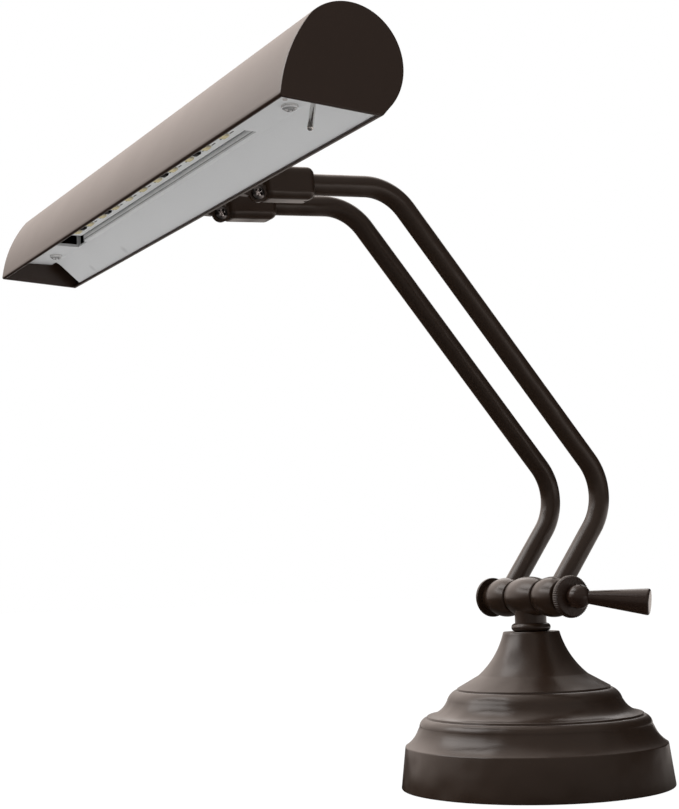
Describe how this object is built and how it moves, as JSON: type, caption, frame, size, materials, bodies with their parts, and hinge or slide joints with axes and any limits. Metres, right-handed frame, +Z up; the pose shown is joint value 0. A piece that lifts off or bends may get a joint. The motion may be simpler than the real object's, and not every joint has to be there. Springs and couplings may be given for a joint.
{
  "type": "piano lamp",
  "caption": "Piano lamp with a stepped round weighted base, two bent arms on a lever clamp, and a long hooded LED shade that tilts, with a toggle switch.",
  "frame": {"origin": "centre of the base's underside, on the surface the lamp stands on", "axes": "+X along the clamp and the shade, towards the clamp lever and the switch; -Y the way the arms reach out; +Z up"},
  "size_m": [0.3252, 0.2699, 0.2921],
  "materials": {
    "bronze_paint": "satin dark bronze paint with a fine soft sheen",
    "shade_bronze": "smooth satin dark bronze paint, baked on",
    "lever_bronze": "satin dark bronze plating, lighter where it is handled",
    "white_enamel": "matt white reflector enamel",
    "felt": "black pressed felt",
    "cast_iron": "rough cast iron",
    "zinc_steel": "dull zinc-plated steel",
    "bright_nickel": "bright nickel plate",
    "black_steel": "black oxide steel",
    "nylon": "black nylon",
    "black_plastic": "moulded black plastic",
    "board_white": "white solder-masked board",
    "chip_phosphor": "cream phosphor gel",
    "lead_sheath": "black flexible sheath"
  },
  "bodies": {
    "base": {"base_pad": "felt", "base_shell": "bronze_paint", "base_weight": "cast_iron", "stem_nipple": "zinc_steel", "nipple_nut": "zinc_steel", "nipple_washer": "zinc_steel", "cord_bushing": "black_plastic", "base_lead": "lead_sheath", "stem_bead": "bronze_paint", "knuckle": "bronze_paint", "clamp_bolt": "zinc_steel", "end_disc": "bronze_paint", "friction_washers": "nylon"},
    "clamp_lever": {"knurled_collar": "lever_bronze", "lever_ball": "lever_bronze", "lever_handle": "lever_bronze"},
    "arms": {"arm_hub_left": "bronze_paint", "arm_hub_right": "bronze_paint", "arm_tube_left": "bronze_paint", "arm_tube_right": "bronze_paint", "arm_lead": "lead_sheath", "swivel_block_left": "bronze_paint", "swivel_block_right": "bronze_paint", "block_set_screws": "black_steel", "pivot_screws": "bright_nickel"},
    "shade": {"shade_shell": "shade_bronze", "end_cap_left": "shade_bronze", "end_cap_right": "shade_bronze", "reflector": "white_enamel", "led_channel": "white_enamel", "led_board": "board_white", "led_chips": "chip_phosphor", "board_parts": "black_plastic", "led_driver": "black_plastic", "switch_lead": "lead_sheath", "reflector_screws": "bright_nickel", "screw_washers": "bright_nickel", "screw_spacers": "zinc_steel", "reflector_bridges": "zinc_steel", "shade_bracket_left": "bronze_paint", "shade_bracket_right": "bronze_paint", "bracket_rivets": "zinc_steel", "panel_rivet": "bright_nickel", "toggle_body": "black_plastic", "toggle_pin": "zinc_steel"},
    "toggle": {"toggle_lever": "bright_nickel"}
  },
  "joints": [
    {"name": "arm_tilt", "type": "hinge", "parent": "base", "child": "arms", "pos_m": [0, 0, 0.08714], "axis": [1, 0, 0], "range_deg": [-35, 45]},
    {"name": "shade_tilt", "type": "hinge", "parent": "arms", "child": "shade", "pos_m": [0, -0.1491, 0.26145], "axis": [1, 0, 0], "range_deg": [-40, 75]},
    {"name": "clamp_turn", "type": "hinge", "parent": "base", "child": "clamp_lever", "pos_m": [0, 0, 0.08714], "axis": [1, 0, 0], "range_deg": [-90, 90]},
    {"name": "toggle_throw", "type": "hinge", "parent": "shade", "child": "toggle", "pos_m": [0.146, -0.18348, 0.2669], "axis": [1, 0, 0], "range_deg": [0, 19.6]}
  ]
}
